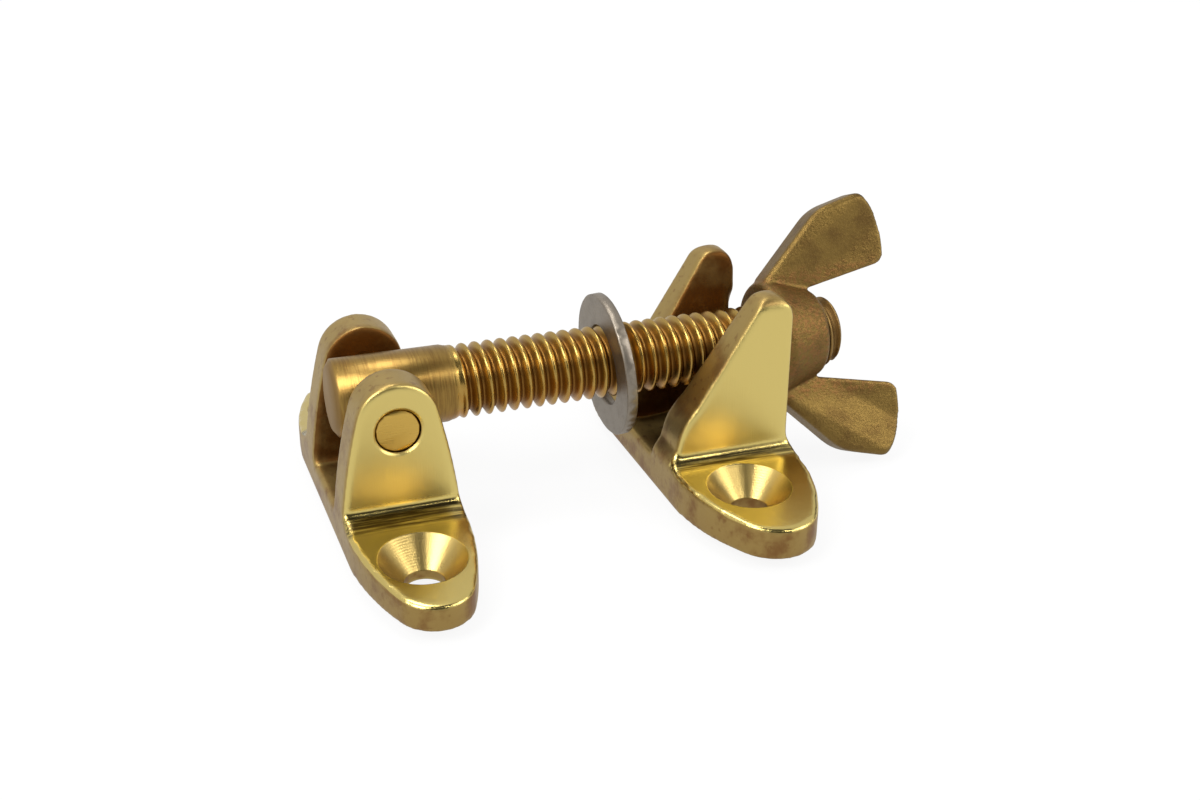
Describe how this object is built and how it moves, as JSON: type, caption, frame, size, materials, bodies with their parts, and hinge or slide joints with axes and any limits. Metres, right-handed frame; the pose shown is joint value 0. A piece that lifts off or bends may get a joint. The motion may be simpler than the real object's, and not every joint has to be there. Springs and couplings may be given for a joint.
{
  "type": "swing bolt draw latch",
  "caption": "Cast brass swing-bolt latch: a hinged threaded bolt with a washer and a wing nut drops into a forked bracket and draws the joined parts together.",
  "frame": {"origin": "on the mounting surface, under the middle of the pivot pin, at the centre of the pivot bracket's underside", "axes": "+X along the closed bolt from the pivot towards the fork and the nut, +Y across the brackets along the pivot pin, +Z away from the mounting surface"},
  "size_m": [0.0662, 0.0528, 0.029],
  "materials": {
    "polished_brass": "cast, outer faces and foot tops polished, edges and inner walls left satin",
    "drawn_brass": "drawn rod, satin",
    "pin_brass": "faced off and polished with the casting",
    "tumbled_brass": "tumbled casting, dull and slightly oxidised",
    "washer_steel": "matt grey"
  },
  "bodies": {
    "brackets": {"pivot_bracket": "polished_brass", "pivot_pin": "pin_brass", "fork_bracket": "polished_brass"},
    "bolt": {"swing_bolt": "drawn_brass"},
    "washer": {"washer": "washer_steel"},
    "nut": {"wing_nut": "tumbled_brass"}
  },
  "joints": [
    {"name": "bolt_swing", "type": "hinge", "parent": "brackets", "child": "bolt", "pos_m": [0, 0, 0.0132], "axis": [0, -1, 0], "range_deg": [0, 180]},
    {"name": "washer_slide", "type": "slide", "parent": "bolt", "child": "washer", "axis": [1, 0, 0], "range_m": [-0.016, 0.0014]},
    {"name": "nut_spin", "type": "hinge", "parent": "bolt", "child": "nut", "pos_m": [0.044, 0, 0.0132], "axis": [1, 0, 0], "continuous": true}
  ]
}
